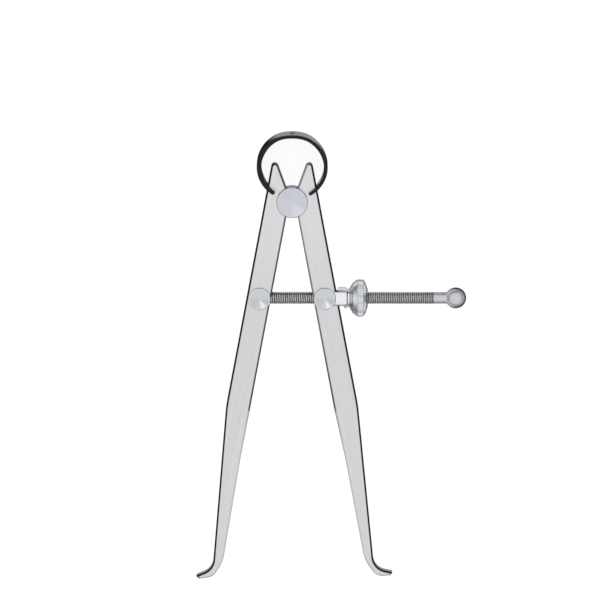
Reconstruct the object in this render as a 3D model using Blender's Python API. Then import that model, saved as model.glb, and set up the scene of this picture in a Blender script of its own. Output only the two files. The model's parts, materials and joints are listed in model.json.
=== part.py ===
import math

import bmesh
import bpy
from mathutils import Vector

# Inside caliper with flat legs, a bow spring and an adjusting screw, in metres.
# It lies on its back: +Y runs from the toes to the bow, +Z is the front.
# Each leg is drawn with its pivot at the origin and its length along -Y, its outer side away from
# the middle of the tool, and is then tilted outward to the rest position.

# Clearances
SIDE_GAP = 0.00015       # flat faces that slide on each other
RUNNING_GAP = 0.00008    # round things that turn in round holes
SEAT_GAP = 0.0003        # things that only touch
THRUST_GAP = 0.0001      # nut against collar

# Swing of each leg about the pivot
REST_TILT = math.radians(10.65)
CLOSING_SWING = math.radians(10.0)
OPENING_SWING = math.radians(17.0)

# Legs
LEG_THICK = 0.0048
LEG_WIDTH = 0.0077
LEG_INNER = 0.00092        # inner edge of the leg, out from the pivot
LEG_EDGE_ROUND = 0.0005
KNEE_DOWN = 0.0685         # where the outer edge starts to taper, below the pivot
KNEE_ROUND = 0.050
SHIN_DOWN = 0.085          # middle of the shin's inner edge, below the pivot
SHIN_ROUND = 0.100
LEFT_SHIN_OUT = 0.00095    # inner edge of the shin there, out from the pivot
RIGHT_SHIN_OUT = 0.00145
TIP_SLOPE = math.radians(30.75)   # inner edge of the tip, from the leg's length
TIP_INNER = 0.0001                # that edge, out from the pivot
TIP_ROUND = 0.00115

# Feet, each drawn about its ankle with the toe along its own axis
ANKLE_DOWN = 0.1195
LEFT_ANKLE_OUT = 0.0021
RIGHT_ANKLE_OUT = 0.00286
LEFT_TOE_DROP = math.radians(22.5)    # toe's axis below square to the leg
RIGHT_TOE_DROP = math.radians(19.5)
LEFT_TOE_REACH = 0.0074
RIGHT_TOE_REACH = 0.0077
TOE_END_THICK = 0.0012
LEFT_TOE_TOP = -0.0021     # top of the toe's end, above the foot's axis
RIGHT_TOE_TOP = -0.00134
INSTEP_OUT = 0.0016
INSTEP_UP = -0.00106
INSTEP_ROUND = 0.0048
LEFT_SOLE_OUT = 0.0021
RIGHT_SOLE_OUT = 0.0027
SOLE_DOWN = 0.0035
LEFT_SOLE_ROUND = 0.0028
RIGHT_SOLE_ROUND = 0.0040
HEEL_BACK = 0.0019
LEFT_HEEL_UP = -0.0001
RIGHT_HEEL_UP = 0.00106
HEEL_ROUND = 0.012
TOE_END_ROUND = 0.0004
LEFT_TOE_END_BACK = 0.00095    # the toe's end leans back this much to its underside
RIGHT_TOE_END_BACK = 0.0006
TOE_TIP_ROUND = 0.00024

# Pivot roller between the legs
ROLLER_RADIUS = 0.0022
FLANGE_RADIUS = 0.00498
FLANGE_THICK = 0.00085
FLANGE_BEVEL = 0.0003

# Bow spring, a strip bent to a C and forked over both legs. Drops are angles below the level of
# its centre. Its crown is a little flat, and each side curls in and thins a little differently.
BOW_CENTRE_UP = 0.0108
BOW_OUTER_RADIUS = 0.01145
BOW_CROWN_FLAT = 0.00030              # how far the crown lies inside that round
BOW_FLAT_SPREAD = math.radians(34.0)  # how far the flat runs down each side
BOW_CROWN_THICK = 0.00108
BOW_CROWN_WIDTH = 0.0119
BOW_END_WIDTH = 0.0077
BOW_THIN_DROP = math.radians(10.0)    # where the strip starts to thin towards its ends
LEFT_SIDE_THICK = 0.00152
LEFT_END_THICK = 0.00128
LEFT_END_DROP = math.radians(54.5)
LEFT_CURL_FROM = math.radians(-25.0)
LEFT_CURL_TO = math.radians(80.0)
LEFT_CURL_IN = 0.00135
RIGHT_SIDE_THICK = 0.00124
RIGHT_END_THICK = 0.00098
RIGHT_END_DROP = math.radians(56.5)
RIGHT_CURL_FROM = math.radians(-15.0)
RIGHT_CURL_TO = math.radians(85.0)
RIGHT_CURL_IN = 0.00145
BOW_SEAT_OUT = 0.0003                 # root of the fork, out from the edge of the leg
BOW_EDGE_BEVEL = 0.00012
BOW_HOLE_RADIUS = 0.0011

# Swivel studs
STUD_DOWN = 0.0324         # below the pivot, along the leg
STUD_OFF_MIDDLE = -0.00027 # outward from the middle of the leg's width
STUD_HEAD_RADIUS = 0.0035
STUD_HEAD_THICK = 0.00085
STUD_HEAD_BEVEL = 0.00025
STUD_WALL = 0.00105        # half the leg's width is this much more than the shank's radius
STUD_TENON_RADIUS = 0.0016
STUD_RIVET_RADIUS = 0.0021
STUD_RIVET_THICK = 0.0004
WASHER_RADIUS = 0.0034
WASHER_THICK = 0.0007
WASHER_BEVEL = 0.0002

# Adjusting screw, along +X from the left stud
SCREW_RADIUS = 0.00195
SCREW_ROOT_BACK = 0.0010       # how far it reaches past the left stud's centre
SCREW_THREAD_LENGTH = 0.0557   # from the left stud's centre
SCREW_NECK_RADIUS = 0.00181
BALL_RADIUS = 0.00335
BALL_CENTRE = 0.0627           # from the left stud's centre
SCREW_BORE_GAP = 0.0001

# Thrust collar, from the right stud outward
COLLAR_RADIUS = 0.00338
COLLAR_PAST_LEG = 0.00308      # from the right leg's edge
COLLAR_ROUND = 0.0006

# Adjusting nut
NUT_LENGTH = 0.00645
NUT_NECK_RADIUS = 0.0029
NUT_NECK_LENGTH = 0.00055
NUT_FLARE_LENGTH = 0.0017
NUT_FLARE_RADIUS = 0.0049
NUT_RIM_START = 0.0031
NUT_RIM_RADIUS = 0.0060
NUT_RIM_WIDTH = 0.0020
NUT_SHOULDER_RADIUS = 0.0047
NUT_SHOULDER_BACK = 0.0006     # from the nut's far face
NUT_FACE_RADIUS = 0.0028
NUT_BORE_GAP = 0.00006
KNURL_TEETH = 60
KNURL_DEPTH = 0.00013

# Fineness of the round shapes
ROUND_STEPS = 40
FLANGE_STEPS = 48
HOLE_STEPS = 24
SCREW_STEPS = 28
BALL_STEPS = 10
BOW_STEPS = 23
ARC_STEP = math.radians(14)
LEAST_ROUND = 0.00004
DROP_STEP = math.radians(0.25)
PAST_END = math.radians(12)    # how far the forks are cut past the ends of the bow
CREASE = math.radians(32)      # edges sharper than this stay sharp

LEFT = -1
RIGHT = 1


def make_material(name, colour, roughness, metallic=1.0):
    material = bpy.data.materials.new(name)
    material.use_nodes = True
    shader = material.node_tree.nodes["Principled BSDF"]
    shader.inputs["Base Color"].default_value = (*colour, 1.0)
    shader.inputs["Roughness"].default_value = roughness
    shader.inputs["Metallic"].default_value = metallic
    return material


def make_object(name, bm, material, parent, location=(0, 0, 0), tilt=0.0):
    mesh = bpy.data.meshes.new(name)
    bmesh.ops.recalc_face_normals(bm, faces=bm.faces)
    bm.to_mesh(mesh)
    bm.free()
    obj = bpy.data.objects.new(name, mesh)
    obj.parent = parent
    obj.location = location
    obj.rotation_euler = (0, 0, tilt)
    bpy.context.scene.collection.objects.link(obj)
    if material:
        mesh.materials.append(material)
        mesh.shade_smooth()
        mesh.set_sharp_from_angle(angle=CREASE)
    return obj


def cut(target, name, bm, location=(0, 0, 0)):
    """Take a shape away from an object. Its place is in the object's own frame."""
    cutter = make_object(name, bm, None, target, location)
    cutter.hide_render = True
    cutter.display_type = "WIRE"
    boolean = target.modifiers.new(name, "BOOLEAN")
    boolean.operation = "DIFFERENCE"
    boolean.solver = "EXACT"
    boolean.object = cutter


def rounded_outline(corners, inset=0.0):
    """Points of a closed outline given as (x, y, round) corners, anticlockwise, moved in by inset."""
    points = [Vector(corner[:2]) for corner in corners]
    count = len(points)
    lines = []
    for i, start in enumerate(points):
        along = (points[(i + 1) % count] - start).normalized()
        inward = Vector((-along.y, along.x))
        lines.append((start + inward * inset, along))
    outline = []
    for i, corner in enumerate(corners):
        (start_in, along_in), (start_out, along_out) = lines[i - 1], lines[i]
        turn = along_in.angle_signed(along_out) * -1
        step = (start_out - start_in).cross(along_out) / along_in.cross(along_out)
        apex = start_in + along_in * step
        bend = 1 if turn > 0 else -1
        radius = max(corner[2] - bend * inset, LEAST_ROUND)
        if corner[2] == 0:
            outline.append(apex)
            continue
        centre = apex - along_in * (radius * abs(math.tan(turn / 2)))
        centre += Vector((-along_in.y, along_in.x)) * radius * bend
        first = math.atan2(along_in.y, along_in.x) - bend * math.pi / 2
        arcs = max(2, math.ceil(abs(turn) / ARC_STEP))
        for k in range(arcs + 1):
            angle = first + turn * k / arcs
            outline.append(centre + Vector((math.cos(angle), math.sin(angle))) * radius)
    return outline


def loft(layers):
    """A closed solid through outlines of equal length, each a (height, points) pair, bottom to top."""
    bm = bmesh.new()
    rings = [[bm.verts.new((p.x, p.y, height)) for p in points] for height, points in layers]
    for lower, upper in zip(rings, rings[1:]):
        for i in range(len(lower)):
            j = (i + 1) % len(lower)
            bm.faces.new((lower[i], lower[j], upper[j], upper[i]))
    bm.faces.new(reversed(rings[0]))
    bm.faces.new(rings[-1])
    return bm


def prism(points, low, high):
    return loft([(low, [Vector(p) for p in points]), (high, [Vector(p) for p in points])])


def turned(profile, along="Z", steps=ROUND_STEPS, teeth_between=None):
    """A solid of revolution. The profile is (distance along, radius) pairs: open with both ends on
    the axis, or closed round a bore. Every second step is cut in between the two teeth stations."""
    bm = bmesh.new()
    rings = []
    for distance, radius in profile:
        ring = []
        for k in range(1 if radius == 0 else steps):
            reach = radius
            if teeth_between and teeth_between[0] < distance < teeth_between[1] and k % 2:
                reach = radius - KNURL_DEPTH
            angle = 2 * math.pi * k / steps
            across, up = reach * math.cos(angle), reach * math.sin(angle)
            places = {"X": (distance, across, up), "Y": (up, distance, across), "Z": (across, up, distance)}
            ring.append(bm.verts.new(places[along]))
        rings.append(ring)
    pairs = list(zip(rings, rings[1:]))
    if profile[0][1] > 0:
        pairs.append((rings[-1], rings[0]))
    for one, two in pairs:
        for k in range(steps):
            m = (k + 1) % steps
            corners = [one[k % len(one)], one[m % len(one)], two[m % len(two)], two[k % len(two)]]
            bm.faces.new(list(dict.fromkeys(corners)))
    return bm


def rounded_profile(corners):
    return [(point.x, point.y) for point in rounded_outline(corners)]


def cylinder(radius, low, high, along="Z", steps=ROUND_STEPS):
    return turned([(low, 0), (low, radius), (high, radius), (high, 0)], along, steps)


def on_leg(side, out, down, tilt=REST_TILT):
    """Where a point of a leg lies in the tool's plane: out across the leg, down along it."""
    across = out * math.cos(tilt) + down * math.sin(tilt)
    up = out * math.sin(tilt) - down * math.cos(tilt)
    return Vector((side * across, up, 0))


def in_leg_frame(side, place):
    """The same the other way: a place in the tool's plane, as the leg's own x and y."""
    turn = -side * REST_TILT
    across = place.x * math.cos(turn) - place.y * math.sin(turn)
    up = place.x * math.sin(turn) + place.y * math.cos(turn)
    return Vector((across, up, 0))


# Legs
LEG_OUTER = LEG_INNER + LEG_WIDTH
LEG_HALF = LEG_THICK / 2
STUD_OUT = LEG_INNER + LEG_WIDTH / 2 + STUD_OFF_MIDDLE
STUD_SHANK_RADIUS = LEG_WIDTH / 2 - STUD_WALL


def leg_corners(side):
    """Corners of a leg as (out, up, round), from the tip down the outer edge and back up inside."""
    left = side == LEFT
    ankle = Vector((LEFT_ANKLE_OUT if left else RIGHT_ANKLE_OUT, -ANKLE_DOWN))
    drop = -(LEFT_TOE_DROP if left else RIGHT_TOE_DROP)
    toe_reach = LEFT_TOE_REACH if left else RIGHT_TOE_REACH
    toe_top = LEFT_TOE_TOP if left else RIGHT_TOE_TOP
    toe_back = LEFT_TOE_END_BACK if left else RIGHT_TOE_END_BACK
    sole_out = LEFT_SOLE_OUT if left else RIGHT_SOLE_OUT
    sole_round = LEFT_SOLE_ROUND if left else RIGHT_SOLE_ROUND
    toeward = Vector((math.cos(drop), math.sin(drop)))
    upward = Vector((-toeward.y, toeward.x))

    def foot(out, up, round_off):
        return (*(ankle + toeward * out + upward * up), round_off)

    tip_up = (LEG_OUTER - TIP_INNER / math.cos(TIP_SLOPE)) / math.tan(TIP_SLOPE)
    notch_up = (LEG_INNER - TIP_INNER / math.cos(TIP_SLOPE)) / math.tan(TIP_SLOPE)
    return [
        (LEG_OUTER, tip_up, TIP_ROUND),
        (LEG_INNER, notch_up, 0),
        (LEG_INNER, -KNEE_DOWN, KNEE_ROUND),
        (LEFT_SHIN_OUT if left else RIGHT_SHIN_OUT, -SHIN_DOWN, SHIN_ROUND),
        foot(-HEEL_BACK, LEFT_HEEL_UP if left else RIGHT_HEEL_UP, HEEL_ROUND),
        foot(sole_out, -SOLE_DOWN, sole_round),
        foot(toe_reach - toe_back, toe_top - TOE_END_THICK, TOE_END_ROUND),
        foot(toe_reach, toe_top, TOE_TIP_ROUND),
        foot(INSTEP_OUT, INSTEP_UP, INSTEP_ROUND),
        (LEG_OUTER, -KNEE_DOWN, KNEE_ROUND),
    ]


def fan(side, away, low_tilt, high_tilt, width):
    """Plan of the room that the screw sweeps in a leg, about the stud. away is the screw's way."""
    ends = []
    for tilt, edge in ((low_tilt, -1), (high_tilt, 1)):
        angle = -side * tilt + (0 if away > 0 else math.pi)
        ray = Vector((math.cos(angle), math.sin(angle)))
        beside = Vector((-ray.y, ray.x)) * width * edge * -side
        ends.append((beside, beside + ray * LEG_WIDTH * 2))
    (near_low, far_low), (near_high, far_high) = ends
    return [near_low, far_low, far_high, near_high]


def build_leg(name, side, material, parent):
    corners = [(side * out, up, round_off) for out, up, round_off in leg_corners(side)]
    if side == LEFT:
        corners.reverse()
    layers = []
    for k in range(4):
        angle = math.pi / 2 * (1 - k / 3)
        inset = LEG_EDGE_ROUND * (1 - math.cos(angle))
        layers.append((LEG_HALF - LEG_EDGE_ROUND * (1 - math.sin(angle)), rounded_outline(corners, inset)))
    layers = [(-height, points) for height, points in layers] + layers[::-1]
    leg = make_object(name, loft(layers), material, parent, tilt=side * REST_TILT)

    deep = LEG_THICK
    notch_radius = ROLLER_RADIUS + RUNNING_GAP
    cut(leg, name + "_roller_notch", cylinder(notch_radius, -deep, deep))

    root = fork_drop(side)
    seat = bow_point(side, root)
    seat_radius = bow_thick(side, root) / 2 + SEAT_GAP
    seat_cutter = cylinder(seat_radius, -deep, deep, steps=HOLE_STEPS)
    cut(leg, name + "_bow_seat", seat_cutter, in_leg_frame(side, seat))

    stud_place = Vector((side * STUD_OUT, -STUD_DOWN, 0))
    cut(leg, name + "_stud_hole", cylinder(STUD_SHANK_RADIUS + RUNNING_GAP, -deep, deep), stud_place)

    slot_high = SCREW_RADIUS + SCREW_BORE_GAP
    slot_wide = SCREW_RADIUS + SEAT_GAP
    tilts = (REST_TILT - CLOSING_SWING, REST_TILT + OPENING_SWING)
    plan = fan(side, -side, *tilts, slot_wide)
    cut(leg, name + "_screw_slot_inside", prism(plan, -slot_high, slot_high), stud_place)
    if side == RIGHT:
        plan = fan(side, side, *tilts, slot_wide)
        cut(leg, name + "_screw_slot_outside", prism(plan, -slot_high, slot_high), stud_place)
    return leg


# Pivot roller
def build_roller(material, parent):
    inner = LEG_HALF + SIDE_GAP
    outer = inner + FLANGE_THICK
    half = [(outer, 0), (outer, FLANGE_RADIUS - FLANGE_BEVEL), (outer - FLANGE_BEVEL, FLANGE_RADIUS)]
    half += [(inner, FLANGE_RADIUS), (inner, ROLLER_RADIUS)]
    profile = half + [(-along, radius) for along, radius in reversed(half)]
    return make_object("pivot_roller", turned(profile, steps=FLANGE_STEPS), material, parent)


# Bow spring
CROWN_RISE = math.pi / 2       # the crown is this far round from the level of the centre


def ease(value):
    value = min(max(value, 0.0), 1.0)
    return value * value * (3 - 2 * value)


def end_drop(side):
    return LEFT_END_DROP if side == LEFT else RIGHT_END_DROP


def bow_thick(side, drop):
    side_thick = LEFT_SIDE_THICK if side == LEFT else RIGHT_SIDE_THICK
    end_thick = LEFT_END_THICK if side == LEFT else RIGHT_END_THICK
    crown_share = ease(-drop / CROWN_RISE)
    end_share = ease((drop - BOW_THIN_DROP) / (end_drop(side) - BOW_THIN_DROP))
    thick = side_thick + (BOW_CROWN_THICK - side_thick) * crown_share
    return thick + (end_thick - side_thick) * end_share


def bow_width(side, drop):
    share = (drop + CROWN_RISE) / (end_drop(side) + CROWN_RISE)
    return BOW_CROWN_WIDTH + (BOW_END_WIDTH - BOW_CROWN_WIDTH) * ease(share)


def bow_point(side, drop, outward=0.0):
    """A point of the strip's middle line, moved outward from the bow's centre."""
    if side == LEFT:
        curl = LEFT_CURL_IN * ease((drop - LEFT_CURL_FROM) / (LEFT_CURL_TO - LEFT_CURL_FROM))
    else:
        curl = RIGHT_CURL_IN * ease((drop - RIGHT_CURL_FROM) / (RIGHT_CURL_TO - RIGHT_CURL_FROM))
    flat = BOW_CROWN_FLAT * ease(1 - (drop + CROWN_RISE) / BOW_FLAT_SPREAD)
    radius = BOW_OUTER_RADIUS - flat - bow_thick(side, drop) / 2 - curl + outward
    return Vector((side * radius * math.cos(drop), BOW_CENTRE_UP - radius * math.sin(drop), 0))


def fork_drop(side):
    """Where the strip's middle line comes down to the outer edge of the leg."""
    drop = 0.0
    while side * in_leg_frame(side, bow_point(side, drop)).x > LEG_OUTER + BOW_SEAT_OUT:
        drop += DROP_STEP
    return drop


def build_bow(material, parent):
    stations = []
    for side in (RIGHT, LEFT):
        turn = end_drop(side) + CROWN_RISE
        half = [(side, end_drop(side) - turn * k / BOW_STEPS) for k in range(BOW_STEPS + 1)]
        stations += half if side == RIGHT else half[-2::-1]
    bm = bmesh.new()
    rings = []
    for side, drop in stations:
        reach = bow_thick(side, drop) / 2
        bevel = BOW_EDGE_BEVEL
        width = bow_width(side, drop) / 2
        section = [(reach, -width + bevel), (reach, width - bevel), (reach - bevel, width)]
        section += [(bevel - reach, width), (-reach, width - bevel), (-reach, bevel - width)]
        section += [(bevel - reach, -width), (reach - bevel, -width)]
        ring = []
        for outward, height in section:
            place = bow_point(side, drop, outward)
            place.z = height
            ring.append(bm.verts.new(place))
        rings.append(ring)
    for one, two in zip(rings, rings[1:]):
        for k in range(len(one)):
            m = (k + 1) % len(one)
            bm.faces.new((one[k], one[m], two[m], two[k]))
    bm.faces.new(rings[0])
    bm.faces.new(reversed(rings[-1]))
    bow = make_object("bow_spring", bm, material, parent)

    slot_half = LEG_HALF + SIDE_GAP
    beside = max(LEFT_SIDE_THICK, RIGHT_SIDE_THICK) * 2
    for side, name in ((LEFT, "left"), (RIGHT, "right")):
        root = fork_drop(side)
        past_end = end_drop(side) + PAST_END
        corners = ((root, -beside), (root, beside), (past_end, beside), (past_end, -beside))
        plan = [bow_point(side, drop, outward).xy for drop, outward in corners]
        cut(bow, name + "_fork", prism(plan, -slot_half, slot_half))
    crown = BOW_CENTRE_UP + BOW_OUTER_RADIUS
    hole = cylinder(BOW_HOLE_RADIUS, BOW_CENTRE_UP, crown + BOW_CROWN_THICK, "Y", HOLE_STEPS)
    cut(bow, "crown_hole", hole)
    return bow


# Swivel studs and the washers that are riveted on behind them
HEAD_BACK = LEG_HALF + SIDE_GAP
WASHER_FRONT = -(LEG_HALF + SIDE_GAP)
WASHER_BACK = WASHER_FRONT - WASHER_THICK
SCREW_BORE = SCREW_RADIUS + SCREW_BORE_GAP


def build_stud(name, parent, place, bore_from, material):
    face = HEAD_BACK + STUD_HEAD_THICK
    shoulder = -LEG_HALF
    rivet = WASHER_BACK - RUNNING_GAP
    profile = [
        (face, 0),
        (face, STUD_HEAD_RADIUS - STUD_HEAD_BEVEL),
        (face - STUD_HEAD_BEVEL, STUD_HEAD_RADIUS),
        (HEAD_BACK, STUD_HEAD_RADIUS),
        (HEAD_BACK, STUD_SHANK_RADIUS),
        (shoulder, STUD_SHANK_RADIUS),
        (shoulder, STUD_TENON_RADIUS),
        (rivet, STUD_TENON_RADIUS),
        (rivet, STUD_RIVET_RADIUS),
        (rivet - STUD_RIVET_THICK, STUD_TENON_RADIUS),
        (rivet - STUD_RIVET_THICK, 0),
    ]
    stud = make_object(name, turned(profile), material, parent, place)
    bore = cylinder(SCREW_BORE, bore_from, STUD_HEAD_RADIUS * 2, "X")
    cut(stud, name + "_screw_bore", bore)
    return stud


def build_washer(name, parent, place, material):
    bore = STUD_TENON_RADIUS + RUNNING_GAP
    profile = [
        (WASHER_FRONT, bore),
        (WASHER_FRONT, WASHER_RADIUS),
        (WASHER_BACK + WASHER_BEVEL, WASHER_RADIUS),
        (WASHER_BACK, WASHER_RADIUS - WASHER_BEVEL),
        (WASHER_BACK, bore),
    ]
    return make_object(name, turned(profile), material, parent, place)


# Adjusting screw, one turned piece with its ball
def build_screw(parent, place, material):
    chamfer = SCREW_RADIUS - SCREW_NECK_RADIUS
    neck_end = BALL_CENTRE - math.sqrt(BALL_RADIUS ** 2 - SCREW_NECK_RADIUS ** 2)
    profile = [
        (-SCREW_ROOT_BACK, 0),
        (-SCREW_ROOT_BACK, SCREW_NECK_RADIUS),
        (-SCREW_ROOT_BACK + chamfer, SCREW_RADIUS),
        (SCREW_THREAD_LENGTH - chamfer, SCREW_RADIUS),
        (SCREW_THREAD_LENGTH, SCREW_NECK_RADIUS),
        (neck_end, SCREW_NECK_RADIUS),
    ]
    first = math.pi - math.asin(SCREW_NECK_RADIUS / BALL_RADIUS)
    for k in range(1, BALL_STEPS):
        angle = first * (1 - k / BALL_STEPS)
        profile.append((BALL_CENTRE + BALL_RADIUS * math.cos(angle), BALL_RADIUS * math.sin(angle)))
    profile.append((BALL_CENTRE + BALL_RADIUS, 0))
    return make_object("adjusting_screw", turned(profile, "X", SCREW_STEPS), material, parent, place)


# Thrust collar. Its cheeks straddle the leg and butt against the rim of the right stud.
LEG_EDGE = LEG_OUTER - STUD_OUT              # from the stud's centre
COLLAR_END = LEG_EDGE + COLLAR_PAST_LEG


def build_collar(parent, place, material):
    corners = [
        (0, SCREW_BORE, 0),
        (COLLAR_END, SCREW_BORE, 0),
        (COLLAR_END, COLLAR_RADIUS, COLLAR_ROUND),
        (0, COLLAR_RADIUS, 0),
    ]
    collar = make_object("thrust_collar", turned(rounded_profile(corners), "X"), material, parent, place)
    rim = max(STUD_HEAD_RADIUS, WASHER_RADIUS) + RUNNING_GAP
    cut(collar, "collar_stud_seat", cylinder(rim, -COLLAR_RADIUS * 2, COLLAR_RADIUS * 2))

    slot_half = LEG_HALF + SIDE_GAP
    high = COLLAR_RADIUS + LEG_EDGE_ROUND
    plan = [Vector((-COLLAR_RADIUS, -high)), Vector((-COLLAR_RADIUS, high))]
    for share in (1.0, 0.5, 0.0, -0.5, -1.0):
        up = high * share
        reaches = []
        for tilt in (REST_TILT - CLOSING_SWING, REST_TILT, REST_TILT + OPENING_SWING):
            reaches.append((LEG_EDGE - up * math.sin(tilt)) / math.cos(tilt))
        plan.append(Vector((max(reaches) + RUNNING_GAP, up)))
    plan.reverse()
    cut(collar, "collar_leg_slot", prism(plan, -slot_half, slot_half))
    return collar


# Knurled adjusting nut
def build_nut(parent, place, material):
    start = COLLAR_END + THRUST_GAP
    end = start + NUT_LENGTH
    bore = SCREW_RADIUS + NUT_BORE_GAP
    rim_end = start + NUT_RIM_START + NUT_RIM_WIDTH
    profile = [
        (start, bore),
        (end, bore),
        (end, NUT_FACE_RADIUS),
        (end - NUT_SHOULDER_BACK, NUT_SHOULDER_RADIUS),
        (rim_end, NUT_RIM_RADIUS - KNURL_DEPTH),
        (rim_end - KNURL_DEPTH, NUT_RIM_RADIUS),
        (start + NUT_RIM_START + KNURL_DEPTH, NUT_RIM_RADIUS),
        (start + NUT_RIM_START, NUT_RIM_RADIUS - KNURL_DEPTH),
        (start + NUT_FLARE_LENGTH, NUT_FLARE_RADIUS),
        (start + NUT_NECK_LENGTH, NUT_NECK_RADIUS),
        (start, NUT_NECK_RADIUS),
    ]
    teeth_between = (start + NUT_RIM_START, rim_end)
    shape = turned(profile, "X", KNURL_TEETH * 2, teeth_between)
    return make_object("adjusting_nut", shape, material, parent, place)


def stand_on_origin(top, pieces):
    """Put the middle of the model's base at the world's origin."""
    bpy.context.view_layer.update()
    depsgraph = bpy.context.evaluated_depsgraph_get()
    points = []
    for piece in pieces:
        shown = piece.evaluated_get(depsgraph)
        mesh = shown.to_mesh()
        points += [shown.matrix_world @ vertex.co for vertex in mesh.vertices]
        shown.to_mesh_clear()
    low = [min(point[axis] for point in points) for axis in range(3)]
    high = [max(point[axis] for point in points) for axis in range(3)]
    top.location = (-(low[0] + high[0]) / 2, -(low[1] + high[1]) / 2, -low[2])


def make_empty(name, parent, place):
    empty = bpy.data.objects.new(name, None)
    empty.parent = parent
    empty.location = place
    bpy.context.scene.collection.objects.link(empty)
    return empty


def main():
    for obj in list(bpy.data.objects):
        bpy.data.objects.remove(obj, do_unlink=True)

    satin_steel = make_material("satin_steel", (0.72, 0.72, 0.73), 0.38)
    roller_steel = make_material("roller_steel", (0.68, 0.70, 0.76), 0.34)
    stud_steel = make_material("stud_steel", (0.66, 0.68, 0.71), 0.30)
    washer_steel = make_material("washer_steel", (0.62, 0.63, 0.65), 0.36)
    spring_steel = make_material("spring_steel", (0.07, 0.07, 0.08), 0.32)
    thread_steel = make_material("thread_steel", (0.42, 0.42, 0.43), 0.34)
    collar_steel = make_material("collar_steel", (0.72, 0.72, 0.74), 0.22)
    nut_steel = make_material("nut_steel", (0.60, 0.61, 0.64), 0.28)

    top = make_empty("caliper", None, (0, 0, 0))
    left_place = on_leg(LEFT, STUD_OUT, STUD_DOWN)
    right_place = on_leg(RIGHT, STUD_OUT, STUD_DOWN)
    left_swivel = make_empty("left_swivel", top, left_place)
    right_swivel = make_empty("right_swivel", top, right_place)

    at_axis = (0, 0, 0)
    pieces = [
        build_roller(roller_steel, top),
        build_bow(spring_steel, top),
        build_leg("left_leg", LEFT, satin_steel, top),
        build_leg("right_leg", RIGHT, satin_steel, top),
        build_stud("left_stud", left_swivel, at_axis, -SCREW_ROOT_BACK - SEAT_GAP, stud_steel),
        build_washer("left_stud_washer", left_swivel, at_axis, washer_steel),
        build_screw(left_swivel, at_axis, thread_steel),
        build_stud("right_stud", right_swivel, at_axis, -STUD_HEAD_RADIUS * 2, stud_steel),
        build_washer("right_stud_washer", right_swivel, at_axis, washer_steel),
        build_collar(right_swivel, at_axis, collar_steel),
        build_nut(right_swivel, at_axis, nut_steel),
    ]
    stand_on_origin(top, pieces)
    print("pivot at", tuple(round(value, 6) for value in top.location))
    for name, place in (("left stud", left_place), ("right stud", right_place)):
        print(name, "at", tuple(round(value, 6) for value in place + top.location))


main()
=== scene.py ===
import json
import math

import bmesh
import bpy
import numpy
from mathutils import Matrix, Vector


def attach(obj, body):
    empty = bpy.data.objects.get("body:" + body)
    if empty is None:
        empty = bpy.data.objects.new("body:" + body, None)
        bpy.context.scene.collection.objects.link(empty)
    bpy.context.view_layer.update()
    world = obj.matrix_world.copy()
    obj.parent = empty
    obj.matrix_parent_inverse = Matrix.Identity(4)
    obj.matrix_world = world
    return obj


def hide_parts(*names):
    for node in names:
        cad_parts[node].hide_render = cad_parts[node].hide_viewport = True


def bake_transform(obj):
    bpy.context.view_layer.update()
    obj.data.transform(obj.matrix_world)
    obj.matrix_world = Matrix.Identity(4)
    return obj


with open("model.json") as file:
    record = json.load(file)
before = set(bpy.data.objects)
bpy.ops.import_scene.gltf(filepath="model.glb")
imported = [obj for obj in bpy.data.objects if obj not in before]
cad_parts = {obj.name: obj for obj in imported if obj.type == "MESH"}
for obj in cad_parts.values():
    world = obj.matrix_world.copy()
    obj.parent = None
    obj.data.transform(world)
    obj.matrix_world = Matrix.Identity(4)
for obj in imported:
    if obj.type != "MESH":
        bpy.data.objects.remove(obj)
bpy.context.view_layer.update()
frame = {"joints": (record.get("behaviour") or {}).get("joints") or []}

# Inside caliper on its back: +Y runs from the toes to the bow, +Z is the front, metres throughout
joints = {joint["name"]: joint for joint in frame["joints"]}
pivot = Vector(joints["left_leg_pivot"]["pos_m"])
leftStud = Vector(joints["screw_swivel"]["pos_m"])
rightStud = Vector(joints["right_stud_swivel"]["pos_m"])
left = -1
right = 1
sharpAngle = 40.0
print("frame loaded")


# Shader maths

class Sock:
    # one output socket, so that maths between sockets reads as ordinary Python
    def __init__(self, look, socket):
        self.look = look
        self.socket = socket

    def maths(self, operation, one, two=0.0):
        return self.look.node("Math", {"operation": operation}, {0: one, 1: two})

    def __add__(self, other):
        return self.maths("ADD", self, other)

    def __radd__(self, other):
        return self.maths("ADD", other, self)

    def __sub__(self, other):
        return self.maths("SUBTRACT", self, other)

    def __rsub__(self, other):
        return self.maths("SUBTRACT", other, self)

    def __mul__(self, other):
        return self.maths("MULTIPLY", self, other)

    def __rmul__(self, other):
        return self.maths("MULTIPLY", other, self)

    def __truediv__(self, other):
        return self.maths("DIVIDE", self, other)

    def __rtruediv__(self, other):
        return self.maths("DIVIDE", other, self)

    def __pow__(self, other):
        return self.maths("POWER", self, other)

    def __rpow__(self, other):
        return self.maths("POWER", other, self)


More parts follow.
